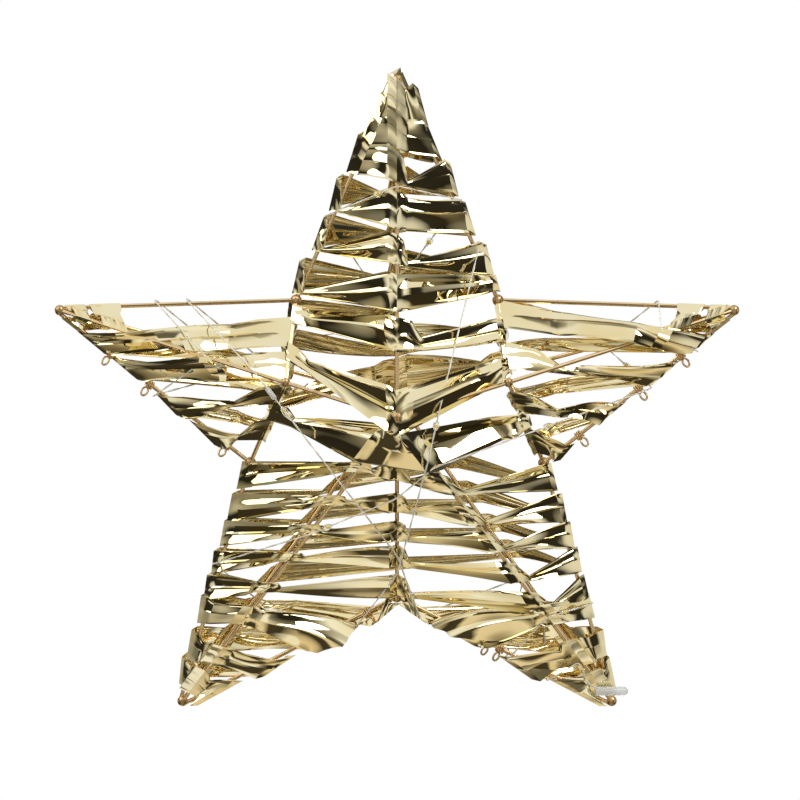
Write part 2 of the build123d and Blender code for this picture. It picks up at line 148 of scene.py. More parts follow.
FILMS = {
    "ribbon_top_arm": Film(0.0130, 0.0019, 0.0046, 1.0, 0.30),
    "ribbon_shoulders": Film(0.0135, 0.0050, 0.0100, 1.0, 0.35),
    "ribbon_waist": Film(0.0124, 0.0026, 0.0050, 1.0, 0.30),
    "ribbon_left_arm": Film(0.0120, 0.0032, 0.0240, 1.0, 0.50),
    "ribbon_right_arm": Film(0.0120, 0.0032, 0.0220, 1.0, 0.50),
    "ribbon_left_tip": Film(0.0100, 0.0070, 0.0050, 1.0, 0.30),
    "ribbon_right_tip": Film(0.0100, 0.0070, 0.0050, 1.0, 0.30),
    "ribbon_left_leg": Film(0.0138, 0.0085, 0.0050, 1.2, 0.60),
    "ribbon_right_leg": Film(0.0138, 0.0085, 0.0050, 1.2, 0.60),
}

# Light string
STRAND_D = 0.00033
TWIST_PITCH = 0.013
STRAND_STEP = 0.0008
STRAND_SIDES = 7
LIGHT_OFFSET = 0.0027
LIGHT_BARE_OFFSET = 0.0017
LIGHT_RISE = 0.0024
LIGHT_EDGE_HALF_WIDTH = 0.0022
LIGHT_EASE = 0.0043
LIGHT_LONG_RUN = 0.015
LINE_RESOLUTION = 10
LINE_ORDER = 3
BEAD_LENGTH = 0.0036
BEAD_R = 0.0012
CHIP_SIZE = 0.0009
SLEEVE_LENGTH = 0.0118
SLEEVE_R = 0.00165
SLEEVE_OVERHANG = 0.0062
SLEEVE_STANDOFF = 0.006
SLEEVE_GRIP = 0.007
SLEEVE_PLACE_SHARE = 0.075
LEAD_IN = 0.0025
SPLICE_LENGTH = 0.005
SPLICE_R = 0.00095

# Turned pieces: places along them as shares of their length, and radii as shares of their radius
BEAD_PROFILE_SHARES = ((0, 0.30), (0.06, 0.62), (0.16, 0.86), (0.32, 1.0), (0.5, 0.98), (0.68, 0.84),
                       (0.84, 0.58), (0.95, 0.36), (1.0, 0.24))
CHIP_PROFILE_SHARES = ((0, 1), (1 / 3, 1.3), (2 / 3, 1.3), (1, 1))
SPLICE_PROFILE_SHARES = ((0, 0.7), (0.05, 1), (0.95, 1), (1, 0.7))
SLEEVE_PROFILE_SHARES = ((0, 0.92), (0.02, 1), (0.55, 0.98), (0.86, 0.95), (0.95, 0.78), (1, 0.35))
TURNED_SIDES = 20
CHIP_SIDES = 8
SLEEVE_SIDES = 28
TURNED_CREASE = math.radians(50)

# Wire eyes
EYE_WIRE_R = 0.0004
EYE_RING_R = 0.0017
EYE_TURNS = 3
EYE_FIT_SHARE = 1.15
EYE_PITCH_SHARE = 2.15
EYE_STEPS = 16
EYE_OVERLAP_STEPS = 2
EYE_LINE_STEP = 0.0003
EYE_SIDES = 10
EYE_TILT = math.radians(50)

# Studio
CAMERA_ELEVATION = math.radians(6)
CAMERA_DISTANCE = 1.35
FRAME_WIDTH = 0.2941
SENSOR_WIDTH_MM = 36
CLIP_RANGE = (0.05, 50)
AIM = Vector((0.0011, 0, 0.0732))
FLOOR_Z = -0.35
FLOOR_SIZE = 12.0
FLOOR_COLOUR = (0.8, 0.79, 0.77, 1)
WHITE = (1, 1, 1, 1)
LAMPS = {
    "key": ((0.7, -0.5, 1.1), 0.7, 6),
    "fill": ((-0.9, -0.3, 0.9), 0.9, 4),
}

# Room seen in the film, from far left to far right: white boxes, grey walls, black flags and a warm table
ROOM_STOPS = (
    (0.00, 0.55), (0.04, 0.30), (0.08, 0.02), (0.15, 0.03), (0.20, 0.75), (0.29, 1.0), (0.36, 0.38),
    (0.44, 0.13), (0.54, 0.15), (0.61, 0.66), (0.64, 0.95), (0.71, 1.0), (0.76, 0.26),
    (0.81, 0.02), (0.89, 0.03), (0.96, 0.75), (1.00, 0.85),
)
TABLE_STOPS = (
    (0.00, 0.04), (0.20, 0.04), (0.31, 0.30), (0.39, 0.80), (0.45, 0.85), (0.49, 0.06), (0.57, 0.05),
    (0.64, 0.60), (0.70, 0.85), (0.75, 0.30), (0.80, 0.03), (1.00, 0.04),
)
GREEN_WARMTH = 0.08
BLUE_WARMTH = 0.30
WOOD_TINT = (1.0, 0.89, 0.70, 1)
CEILING_COLOUR = (0.9, 0.9, 0.9, 1)
TABLE_EDGE = (-0.46, -0.38)
CEILING_EDGE = (0.66, 0.80)

FRONT = Vector((0, -1, 0))
DOWN = Vector((0, 0, -1))
RIGHT = Vector((1, 0, 0))


# Frame wires, as the part's source lays them out

class Wire(NamedTuple):
    """A straight frame wire from its outer end to its inner end, and the side that faces out."""

    start: Vector
    end: Vector
    outward: Vector

    def at(self, share):
        return self.start.lerp(self.end, share)

    @property
    def direction(self):
        return (self.end - self.start).normalized()


def across(vector, direction):
    """The part of a vector square to a unit direction, as a unit vector."""
    return (vector - direction * vector.dot(direction)).normalized()


def frame_wires():
    """Every wire of the frame by its node's name."""
    centre = Vector((0, 0, APEX_Z))
    apexes = {"front": Vector((0, -HALF_DEPTH, APEX_Z)), "back": Vector((0, HALF_DEPTH, APEX_Z))}
    notch = Vector((0, 0, 0))
    tips = {"top": Vector((0, 0, TOP_TIP_Z))}
    wires = {}

    def outline(tip, corner):
        square = (corner - tip).normalized().cross(FRONT)
        if square.dot((tip + corner) / 2 - centre) < 0:
            square.negate()
        return Wire(tip, corner, square)

    def depth(start, end, face):
        outward = FRONT if face == "front" else -FRONT
        return Wire(start, end, across(outward, (end - start).normalized()))

    for side, sign in (("left", -1), ("right", 1)):
        leg = f"{side}_leg"
        tips[side] = Vector((sign * SIDE_TIP_X, 0, SIDE_TIP_Z))
        tips[leg] = Vector((sign * LEG_TIP_X, 0, LEG_TIP_Z))
        shoulder = Vector((sign * SHOULDER_X, 0, SHOULDER_Z))
        hip = Vector((sign * HIP_X, 0, HIP_Z))
        wires[f"edge_top_{side}"] = outline(tips["top"], shoulder)
        wires[f"edge_{side}_upper"] = outline(tips[side], shoulder)
        wires[f"edge_{side}_lower"] = outline(tips[side], hip)
        wires[f"edge_{leg}_outer"] = outline(tips[leg], hip)
        wires[f"edge_{leg}_inner"] = outline(tips[leg], notch)
        for face, apex in apexes.items():
            root = tips[side].lerp(apex, BRACE_ROOT_SHARE)
            wires[f"brace_{side}_{face}_upper"] = depth(shoulder, root, face)
            wires[f"brace_{side}_{face}_lower"] = depth(hip, root, face)
    for face, apex in apexes.items():
        wires[f"spine_{face}"] = depth(notch, apex, face)
        for arm, tip in tips.items():
            wires[f"ridge_{face}_{arm}"] = depth(tip, apex, face)
    return wires


WIRES = frame_wires()


# Where each ribbon touches the frame: wire, place along it and width there, all as shares

def mirrored(contacts):
    """The same winding on the other side of the star."""
    swap = {"left": "right", "right": "left"}
    return [("_".join(swap.get(word, word) for word in wire.split("_")), place, width)
            for wire, place, width in contacts]


def top_arm_shares():
    """Five turns and a part of one, from the tip to the shoulders, closer together near the tip."""
    left_places_share = (0.10, 0.215, 0.365, 0.545, 0.73, 0.905)
    front_places_share = (0.085, 0.17, 0.275, 0.395, 0.515, 0.635)
    right_places_share = (0.165, 0.32, 0.485, 0.665, 0.85)
    back_places_share = (0.125, 0.225, 0.34, 0.46, 0.585)
    contacts = [("edge_top_right", 0.085, 1)]
    for left, front, right, back in zip(left_places_share, front_places_share,
                                        right_places_share, back_places_share):
        full = FLAKE_SHARE if left < FLAKES_LAST_SHARE else 1
        contacts.append(("edge_top_left", left, full))
        contacts.append(("ridge_front_top", front, full))
        contacts.append(("edge_top_right", right, full))
        contacts.append(("ridge_back_top", back, BACK_WIDTH_SHARE))
    contacts.append(("edge_top_left", left_places_share[-1], 1))
    contacts.append(("ridge_front_top", front_places_share[-1], 1))
    contacts.append(("edge_top_right", 0.94, 0.5))
    return contacts


SHOULDER_SHARES = [
    ("ridge_back_top", 0.70, 1),
    ("brace_left_back_upper", 0.17, NARROW_SHARE),
    ("brace_left_front_upper", 0.17, NARROW_SHARE),
    ("ridge_front_top", 0.765, 1),
    ("brace_right_front_upper", 0.41, NARROW_SHARE),
    ("brace_right_back_upper", 0.41, NARROW_SHARE),
    ("ridge_back_top", 0.82, 1),
    ("brace_left_back_upper", 0.62, NARROW_SHARE),
    ("brace_left_front_upper", 0.62, NARROW_SHARE),
    ("ridge_front_top", 0.985, 1.2),
    ("brace_right_front_upper", 0.84, NARROW_SHARE),
    ("brace_right_back_upper", 0.84, NARROW_SHARE),
    ("ridge_back_top", 0.93, 1),
    ("ridge_back_left", 0.83, 1),
    ("brace_left_back_lower", 0.66, NARROW_SHARE),
    ("brace_left_front_lower", 0.66, NARROW_SHARE),
    ("ridge_front_left_leg", 0.915, 1.3),
    ("ridge_front_right_leg", 0.895, 1.3),
    ("brace_right_front_lower", 0.55, NARROW_SHARE),
    ("brace_right_back_lower", 0.55, NARROW_SHARE),
]


def waist_shares():
    """Five turns round both legs, from the hips down to the notch."""
    outer_left_share = (0.93, 0.816, 0.703, 0.589, 0.475)
    ridge_left_share = (0.83, 0.73, 0.63, 0.53, 0.43)
    spine_share = (0.71, 0.555, 0.40, 0.245, 0.09)
    ridge_right_share = (0.78, 0.68, 0.58, 0.48, 0.38)
    outer_right_share = (0.93, 0.818, 0.705, 0.593, 0.48)
    right_drop_share = 0.03
    left_drop_share = 0.05
    behind_right_share = tuple(place - right_drop_share for place in ridge_left_share[:-1])
    behind_left_share = tuple(place - left_drop_share for place in ridge_right_share[:-1])
    contacts = []
    for turn in range(len(spine_share)):
        contacts.append(("edge_left_leg_outer", outer_left_share[turn], CAP_SHARE))
        contacts.append(("ridge_front_left_leg", ridge_left_share[turn], LEFT_RIDGE_SHARE))
        contacts.append(("spine_front", spine_share[turn], SPINE_SHARE))
        contacts.append(("ridge_front_right_leg", ridge_right_share[turn], RIGHT_RIDGE_SHARE))
        contacts.append(("edge_right_leg_outer", outer_right_share[turn], CAP_SHARE))
        if turn < len(behind_right_share):
            contacts.append(("ridge_back_right_leg", behind_right_share[turn], BACK_WIDTH_SHARE))
            contacts.append(("ridge_back_left_leg", behind_left_share[turn], BACK_WIDTH_SHARE))
    return contacts


def side_arm_shares(side, rows):
    """Level rows along a side arm, from the braces at its root out to its lower edge and back."""
    contacts = []
    for part, brace_place, edge_place, edge_width in rows:
        contacts.append((f"brace_{side}_back_{part}", brace_place, BACK_BRACE_SHARE))
        contacts.append((f"brace_{side}_front_{part}", brace_place, 1))
        contacts.append((f"edge_{side}_lower", edge_place, edge_width))
    return contacts


LEFT_ARM_ROW_SHARES = [
    ("upper", 0.39, 0.20, 1),
    ("upper", 0.85, 0.38, 1),
    ("lower", 0.87, 0.60, 1),
    ("lower", 0.43, 0.78, 1),
]
RIGHT_ARM_ROW_SHARES = [
    ("upper", 0.17, 0.20, 1),
    ("upper", 0.64, 0.40, 1),
    ("lower", 0.80, 0.65, 1),
    ("lower", 0.30, 0.91, NARROW_SHARE),
]
LEFT_TIP_SHARES = [
    ("ridge_back_left", 0.085, NARROW_SHARE),
    ("edge_left_upper", 0.095, NARROW_SHARE),
    ("ridge_front_left", 0.085, NARROW_SHARE),
    ("edge_left_lower", 0.095, NARROW_SHARE),
    ("ridge_back_left", 0.15, 1),
    ("edge_left_upper", 0.20, 1),
    ("ridge_front_left", 0.18, 1),
]
LEFT_LEG_SHARES = [
    ("spine_front", 0.07, 0.5),
    ("edge_left_leg_inner", 0.905, 0.8),
    ("ridge_back_left_leg", 0.335, GATHER_SHARE),
    ("edge_left_leg_outer", 0.40, CAP_SHARE),
    ("ridge_front_left_leg", 0.32, CAP_SHARE),
    ("edge_left_leg_inner", 0.74, 1.4),
    ("ridge_back_left_leg", 0.225, 1),
    ("edge_left_leg_outer", 0.245, CAP_SHARE),
    ("ridge_front_left_leg", 0.185, CAP_SHARE),
    ("edge_left_leg_inner", 0.45, 1.1),
    ("ridge_back_left_leg", 0.135, 1),
    ("edge_left_leg_outer", 0.13, CAP_SHARE),
    ("ridge_front_left_leg", 0.095, CAP_SHARE),
    ("edge_left_leg_inner", 0.18, 1.4),
]

RIBBONS = {
    "ribbon_top_arm": top_arm_shares(),
    "ribbon_shoulders": SHOULDER_SHARES,
    "ribbon_waist": waist_shares(),
    "ribbon_left_arm": side_arm_shares("left", LEFT_ARM_ROW_SHARES),
    "ribbon_right_arm": side_arm_shares("right", RIGHT_ARM_ROW_SHARES),
    "ribbon_left_tip": LEFT_TIP_SHARES,
    "ribbon_right_tip": mirrored(LEFT_TIP_SHARES),
    "ribbon_left_leg": LEFT_LEG_SHARES,
    "ribbon_right_leg": mirrored(LEFT_LEG_SHARES),
}

# Light string: its route over the wires, and what is threaded on each run
LIGHT_ROUTE_SHARES = [
    ("ridge_front_right_leg", 0.17),
    ("edge_right_leg_inner", 0.30),
    ("ridge_back_right_leg", 0.33),
    ("edge_right_leg_outer", 0.418),
    ("ridge_front_right_leg", 0.325),
    ("edge_right_leg_inner", 0.485),
    ("ridge_back_right_leg", 0.42),
    ("edge_right_leg_inner", 0.88),
    ("spine_front", 0.26),
    ("ridge_front_left_leg", 0.77),
    ("ridge_front_left", 0.60),
    ("edge_left_upper", 0.55),
    ("ridge_back_left", 0.62),
    ("edge_left_lower", 0.53),
    ("ridge_front_left", 0.46),
    ("edge_left_upper", 0.42),
    ("ridge_back_left", 0.48),
    ("ridge_back_top", 0.77),
    ("edge_top_left", 0.64),
    ("ridge_front_top", 0.335),
    ("edge_top_right", 0.57),
    ("ridge_back_top", 0.645),
    ("edge_top_right", 0.755),
    ("ridge_front_right", 0.88),
    ("ridge_front_right_leg", 0.87),
    ("spine_front", 0.17),
    ("edge_left_leg_inner", 0.80),
    ("ridge_back_left_leg", 0.35),
    ("edge_left_leg_outer", 0.58),
    ("ridge_front_left_leg", 0.62),
    ("spine_front", 0.60),
    ("ridge_front_right_leg", 0.84),
    ("edge_right_lower", 0.475),
    ("ridge_back_right", 0.40),
    ("edge_right_upper", 0.34),
    ("ridge_front_right", 0.24),
    ("edge_right_lower", 0.24),
]
LIGHT_CROSSINGS = (24, 25, 29, 30)
BEAD_SHARES = [
    (3, 0.62),
    (7, 0.35),
    (9, 0.68),
    (12, 0.50),
    (16, 0.50),
    (18, 0.74),
    (20, 0.50),
    (23, 0.38),
    (26, 0.50),
    (29, 0.20),
    (31, 0.52),
    (32, 0.50),
]
SPLICE_SHARES = (9, 0.83)
EYE_SHARES = [
    ("eye_left_outer", "edge_left_lower", 0.292),
    ("eye_left_middle", "edge_left_lower", 0.49),
    ("eye_left_inner", "edge_left_lower", 0.885),
    ("eye_right_outer", "edge_right_lower", 0.305),
    ("eye_right_middle", "edge_right_lower", 0.52),
    ("eye_right_inner", "edge_right_lower", 0.82),
    ("eye_right_leg_outer", "edge_right_leg_inner", 0.528),
    ("eye_right_leg_inner", "edge_right_leg_inner", 0.582),
    ("eye_left_leg", "edge_left_leg_inner", 0.86),
]


# Shader maths: sockets as values

class Value:
    """A shader value; sums and products on it add Math nodes."""

    def __init__(self, tree, socket):
        self.tree = tree
        self.socket = socket

    def math(self, operation, first, second):
        return self.tree.node("ShaderNodeMath", {"operation": operation}, {0: first, 1: second})

    def __add__(self, other):
        return self.math("ADD", self, other)

    def __radd__(self, other):
        return self.math("ADD", other, self)

    def __rsub__(self, other):
        return self.math("SUBTRACT", other, self)

    def __mul__(self, other):
        return self.math("MULTIPLY", self, other)

    def between(self, low, high):
        """A smooth step from 0 at low to 1 at high."""
        return self.tree.node("ShaderNodeMapRange", {"interpolation_type": "SMOOTHSTEP"},
                              {"Value": self, "From Min": low, "From Max": high})


class Tree:
    """A node tree under construction."""

    def __init__(self, owner):
        owner.use_nodes = True
        self.nodes = owner.node_tree.nodes
        self.links = owner.node_tree.links
        self.nodes.clear()

    def node(self, kind, settings=None, inputs=None, output=0):
        made = self.nodes.new(kind)
        for key, value in (settings or {}).items():
            setattr(made, key, value)
        for key, value in (inputs or {}).items():
            socket = made.inputs[key]
            if isinstance(value, Value):
                self.links.new(value.socket, socket)
            else:
                socket.default_value = value
        return Value(self, made.outputs[output])

    def mix(self, factor, first, second, blend="MIX"):
        """Two colours mixed by a factor, on the Mix node's colour sockets."""
        return self.node("ShaderNodeMix", {"data_type": "RGBA", "blend_type": blend},
                         {0: factor, 6: first, 7: second}, output=2)

    def ramp(self, value, stops):
        """A colour by value, from stops of (place, level); lower levels are warmer."""
        made = self.nodes.new("ShaderNodeValToRGB")
        elements = made.color_ramp.elements
        while len(elements) < len(stops):
            elements.new(0.5)
        for element, (place, level) in zip(elements, stops):
            element.position = place
            shade = 1 - level
            green = level * (1 - GREEN_WARMTH * shade)
            blue = level * (1 - BLUE_WARMTH * shade)
            element.color = (level, green, blue, 1)
        self.links.new(value.socket, made.inputs[0])
        return Value(self, made.outputs[0])

    def grain(self, scale, detail):
        """Noise over the piece, at so many grains to the metre."""
        place = self.node("ShaderNodeTexCoord", output="Object")
        return self.node("ShaderNodeTexNoise", None, {"Vector": place, "Scale": scale, "Detail": detail})

    def bump(self, height, distance, strength):
        return self.node("ShaderNodeBump", None,
                         {"Height": height, "Distance": distance, "Strength": strength})


def material(name):
    """A new material and its empty tree."""
    made = bpy.data.materials.new(name)
    return made, Tree(made)


def to_output(tree, surface, kind="ShaderNodeOutputMaterial"):
    out = tree.nodes.new(kind)
    tree.links.new(surface.socket, out.inputs["Surface"])


def principled(made, tree, inputs):
    """A material finished with one Principled surface."""
    to_output(tree, tree.node("ShaderNodeBsdfPrincipled", None, inputs))
    return made


def film_material():
    """Metallised film: a champagne mirror with faint haze and warmer patches."""
    made, tree = material("champagne_film")
    patches = tree.grain(60.0, 2.0)
    haze = tree.grain(350.0, 3.0)
    dents = tree.grain(110.0, 1.0)
    warm = patches.between(0.35, 0.7)
    colour = tree.mix(warm, (0.90, 0.81, 0.53, 1), (0.87, 0.73, 0.40, 1))
    return principled(made, tree, {
        "Base Color": colour,
        "Metallic": 1.0,
        "Roughness": 0.015 + haze.between(0.45, 0.8) * 0.04,
        "Normal": tree.bump(dents, 0.0004, 0.025),
    })


def wire_material():
    """Gold lacquered wire: coppery gold with drawn streaks and worn, darker spots."""
    made, tree = material("gold_wire")
    spots = tree.grain(260.0, 3.0)
    streaks = tree.grain(1500.0, 2.0)
    worn = spots.between(0.52, 0.72)
    colour = tree.mix(worn, (0.90, 0.67, 0.37, 1), (0.76, 0.52, 0.26, 1))
    return principled(made, tree, {
        "Base Color": colour,
        "Metallic": 1.0,
        "Roughness": 0.16 + worn * 0.12,
        "Normal": tree.bump(streaks, 0.0001, 0.1),
    })


def braze_material():
    """Brazed joints: lumpier and duller than the wire."""
    made, tree = material("brazed_joint")
    lumps = tree.grain(900.0, 3.0)
    tarnish = tree.grain(500.0, 3.0).between(0.4, 0.7)
    colour = tree.mix(tarnish, (0.66, 0.46, 0.22, 1), (0.40, 0.25, 0.11, 1))
    return principled(made, tree, {
        "Base Color": colour,
        "Metallic": 1.0,
        "Roughness": 0.30 + tarnish * 0.15,
        "Normal": tree.bump(lumps, 0.0004, 0.5),
    })


def light_wire_material():
    """Pale enamelled strands of the light string."""
    made, tree = material("silvery_strand")
    tint = tree.grain(300.0, 2.0).between(0.35, 0.7)
    colour = tree.mix(tint, (0.97, 0.94, 0.84, 1), (0.91, 0.86, 0.70, 1))
    return principled(made, tree, {
        "Base Color": colour,
        "Metallic": 0.35,
        "Roughness": 0.30 + tint * 0.1,
    })


def clear_material(name, colour, transmission, roughness):
    """Clear resin or tube with faint flow marks."""
    made, tree = material(name)
    flow = tree.grain(900.0, 2.0)
    return principled(made, tree, {
        "Base Color": colour,
        "Roughness": roughness + flow.between(0.4, 0.8) * 0.08,
        "Transmission Weight": transmission,
        "IOR": 1.48,
        "Normal": tree.bump(flow, 0.0002, 0.2),
    })


def chip_material():
    """Yellow phosphor of a light."""
    made, tree = material("phosphor_chip")
    speckle = tree.grain(4000.0, 2.0).between(0.4, 0.7)
    colour = tree.mix(speckle, (0.90, 0.72, 0.12, 1), (0.80, 0.58, 0.08, 1))
    return principled(made, tree, {"Base Color": colour, "Roughness": 0.45})


FILM = film_material()
GOLD_WIRE = wire_material()
BRAZE = braze_material()
STRAND = light_wire_material()
RESIN = clear_material("clear_resin", (0.97, 0.95, 0.84, 1), 0.9, 0.06)
SLEEVE = clear_material("clear_sleeve", (0.90, 0.90, 0.87, 1), 0.45, 0.30)
CHIP = chip_material()


# Pieces

def piece(name, mesh, finish_material, slot, *nodes):
    """A finished mesh as a piece of the star that stands for some of its solids."""
    made = bpy.data.objects.new(name, mesh)
    bpy.context.scene.collection.objects.link(made)
    mesh.materials.clear()
    mesh.materials.append(finish_material)
    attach(made, "root")
    if nodes:
        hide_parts(*nodes)


class Hold(NamedTuple):
    """A ribbon's seat on a wire: the film's middle, edge direction, outer side, and how its ends flare."""

    seat: Vector
    along: Vector
    outward: Vector
    length: float
    low_sign: int
    flare: tuple

    def end(self, sign):
        """The end of the seat on one side, standing off the wire by its flare."""
        flare = self.flare[0] if sign == self.low_sign else self.flare[1]
        return self.seat + self.along * (sign * self.length / 2) + self.outward * flare


def holds_of(contacts, film, chance):
    """The ribbon's seats in order, each shifted, widened and flared a little by chance."""
    points = [WIRES[name].at(place) for name, place, width in contacts]
    holds = []
    for number, (name, place, width) in enumerate(contacts):
        wire = WIRES[name]
        here = points[number]
        before = points[number - 1] if number else None
        after = points[number + 1] if number + 1 < len(points) else None
        outward = wire.outward
        if before and after and not name.startswith("spine"):
            pull = (before - here).normalized() + (after - here).normalized()
            outward = across(-pull, wire.direction)
        travel = (after or here) - (before or here)
        along = wire.direction
        if along.cross(outward).dot(travel) < 0:
            along = -along
        low_sign = 1 if along.dot(DOWN) > 0 else -1
        loose = name.startswith("edge_top") or name.endswith(("outer", "inner")) or width > LOOSE_FROM_SHARE
        offset = FILM_OFFSET + (FILM_PUFF if loose else 0)
        flare = (0, 0)
        if place >= FLARES_FIRST_SHARE:
            flare = next((ends for part, ends in FLARES.items() if part in name), flare)
        lift = chance.uniform(*FLARE_RANGE)
        seat = here + outward * offset + along * (chance.uniform(-1, 1) * SEAT_SHIFT)
        length = film.width * width * chance.uniform(*WIDTH_RANGE)
        holds.append(Hold(seat, along, outward, length, low_sign, (flare[0] * lift, flare[1] * lift)))
    return holds


class Section(NamedTuple):
    """One line across the film: its low and high edge, outer side, and how far it is pleated and folded."""

    low: Vector
    high: Vector
    outer: Vector
    pleat: float
    fold: float


def span_sections(hold, following, neck_width, neck_reach):
    """Key lines from one wire to the next: over the wire, drawn in to a neck, and fanned out again."""
    low = hold.low_sign
    reach = (following.seat - hold.seat).normalized()
    outer = across(hold.outward + following.outward, reach)
    low_end = hold.end(low)
    high_end = hold.end(-low)
    base_low = following.end(low)
    base_high = following.end(-low)
    crest = Section(low_end, high_end, hold.outward, 0, 0)
    if following.length < hold.length * TAPER_SHARE:
        neck = Section(low_end.lerp(base_low, NECK_TAPER_SHARE), high_end.lerp(base_high, NECK_TAPER_SHARE),
                       outer, TAPER_PLEAT_SHARE, TAPER_FOLD_SHARE)
        leave = blend(crest, neck, TAPER_LEAVE_SHARE)._replace(
            outer=outer, pleat=TAPER_LEAVE_PLEAT_SHARE, fold=TAPER_FOLD_SHARE)
    else:
        neck_width = min(neck_width, hold.length)
        drawn_in = 1 - neck_width / hold.length
        cone_low = low_end + reach * (neck_reach * CONE_LOW_SHARE)
        cone_high = high_end.lerp(low_end, CONE_NARROWING_SHARE * drawn_in)
        cone_high += reach * (neck_reach * CONE_HIGH_SHARE)
        leave = Section(cone_low, cone_high, (hold.outward + outer).normalized(),
                        CONE_PLEAT_SHARE * drawn_in, CONE_FOLD_SHARE)
        neck_low = low_end + reach * neck_reach
        neck = Section(neck_low, neck_low - hold.along * (low * neck_width), outer, drawn_in, 1)
    back = reach * FAN_SHOULDER_REACH
    rise = outer * FAN_SHOULDER_RISE
    shoulder = Section(base_low - back + rise, base_high - back + rise, outer, FAN_SHOULDER_PLEAT_SHARE, 1)
    crest_next = Section(base_low, base_high, following.outward, 0, 0)
    return crest, leave, neck, shoulder, crest_next


def rise_over(ridge, start, end):
    """Where a film edge passes a ridge, seen from the front, and how far it stands off to clear it."""
    run = end - start
    line = ridge.end - ridge.start
    gap = ridge.start - start
    turn = run.x * line.z - run.z * line.x
    place = (gap.x * line.z - gap.z * line.x) / turn
    ridge_place = (gap.x * run.z - gap.z * run.x) / turn
    first, last = RIDGE_PASS_RANGE
    if not (first < place < last and 0 < ridge_place < 1):
        return 0.5, 0
    height = (ridge.at(ridge_place) - start.lerp(end, place)).dot(ridge.outward) + RIDGE_CLEARANCE
    return place, max(0, height)


def ridge_rises(arm, neck, shoulder):
    """The ridge that a side arm's fan passes, and where and how far each edge of the fan rises over it."""
    face = "front" if neck.outer.dot(FRONT) > 0 else "back"
    ridge = WIRES[f"ridge_{face}_{arm}"]
    return ridge, [rise_over(ridge, neck.low, shoulder.low), rise_over(ridge, neck.high, shoulder.high)]


def lifted(section, share, ridge, rises):
    """A section raised towards the places where its two edges pass over a ridge."""
    edges = []
    for edge, (place, height) in zip((section.low, section.high), rises):
        part = share / place if share < place else (1 - share) / (1 - place)
        edges.append(edge + ridge.outward * (height * part))
    return section._replace(low=edges[0], high=edges[1])


class Creases(NamedTuple):
    """How one span is creased: widths and tilts of its strips, pleat angle, and the fan's sag and turn."""

    widths: list
    tilts: list
    pleat_angle: float
    sag: float
    turn: float


def span_creases(film, creasing, chance):
    """One span's creases, drawn by chance; less creasing makes a plainer span."""
    weights = [chance.uniform(*limits) for limits in STRIP_WEIGHTS]
    total = sum(weights)
    widths = [weight / total for weight in weights]
    sag = chance.uniform(-1, 1) * FAN_SAG
    pleat_angle = chance.choice((-1, 1)) * PLEAT_ANGLE * creasing
    tilts = []
    for low, high, either_way in STRIP_TILTS:
        tilt = chance.uniform(low, high)
        if either_way:
            tilt *= chance.choice((-1, 1))
        tilts.append(tilt * creasing * film.crumple)
    turn = chance.uniform(*TURN_RANGE) * chance.choice((-1, 1)) * film.twist * creasing
    return Creases(widths, tilts, pleat_angle, sag, turn)


def cross_line(section, widths, angles):
    """Points across the film at one section, folded at its creases and bowed between them."""
    span = section.high - section.low
    axis = span.normalized()
    outer = across(section.outer, axis)
    run = 0.0
    rise = 0.0
    flat = [(0.0, 0.0)]
    for share, angle in zip(widths, angles):
        for column in range(STRIP_COLUMNS):
            bow = (column - (STRIP_COLUMNS - 1) / 2) * STRIP_BOW * section.fold
            part = share / STRIP_COLUMNS
            run += part * math.cos(angle + bow)
            rise += part * math.sin(angle + bow)
            flat.append((run, rise))
    scale = span.length / run
    lean = rise / run
    return [section.low + axis * (x * scale) + outer * ((y - lean * x) * scale) for x, y in flat]


def blend(first, second, share):
    """A line between two sections of the film."""
    return Section(first.low.lerp(second.low, share), first.high.lerp(second.high, share),
                   first.outer.lerp(second.outer, share).normalized(),
                   first.pleat + (second.pleat - first.pleat) * share,
                   first.fold + (second.fold - first.fold) * share)


def turned(section, angle):
    """A section turned about the film's run."""
    middle = (section.low + section.high) / 2
    half = (section.high - section.low) / 2
    axis = half.normalized()
    outer = across(section.outer, axis)
    half = half * math.cos(angle) + outer * (half.length * math.sin(angle))
    outer = outer * math.cos(angle) - axis * math.sin(angle)
    return section._replace(low=middle - half, high=middle + half, outer=outer)


def fanned(section, share, creases):
    """A section of the fan, which sags and turns most at its middle."""
    swell = math.sin(math.pi * share)
    bend = section.outer * (creases.sag * swell)
    section = section._replace(low=section.low + bend, high=section.high + bend)
    return turned(section, creases.turn * swell)


def creased_line(section, creases):
    """A section's points, creased as far as the film is folded and pleated there."""
    unevenness = min(1, CREASE_ONSET * section.fold)
    widths = [EVEN_STRIP_SHARE + (own - EVEN_STRIP_SHARE) * unevenness for own in creases.widths]
    angles = [creases.pleat_angle * (-1) ** strip * section.pleat + tilt * section.fold
              for strip, tilt in enumerate(creases.tilts)]
    return cross_line(section, widths, angles)


def span_lines(keys, creases, arm):
    """The film's cross lines from one wire to the next."""
    if arm:
        ridge, rises = ridge_rises(arm, keys[FAN_STAGE], keys[FAN_STAGE + 1])
    lines = []
    for stage, count in enumerate(STAGE_ROWS):
        for row in range(count):
            share = row / count
            section = blend(keys[stage], keys[stage + 1], share)
            if stage == FAN_STAGE:
                section = fanned(section, share, creases)
                if arm:
                    section = lifted(section, share, ridge, rises)
            lines.append(creased_line(section, creases))
    lines.append(creased_line(keys[-1], creases))
    return lines


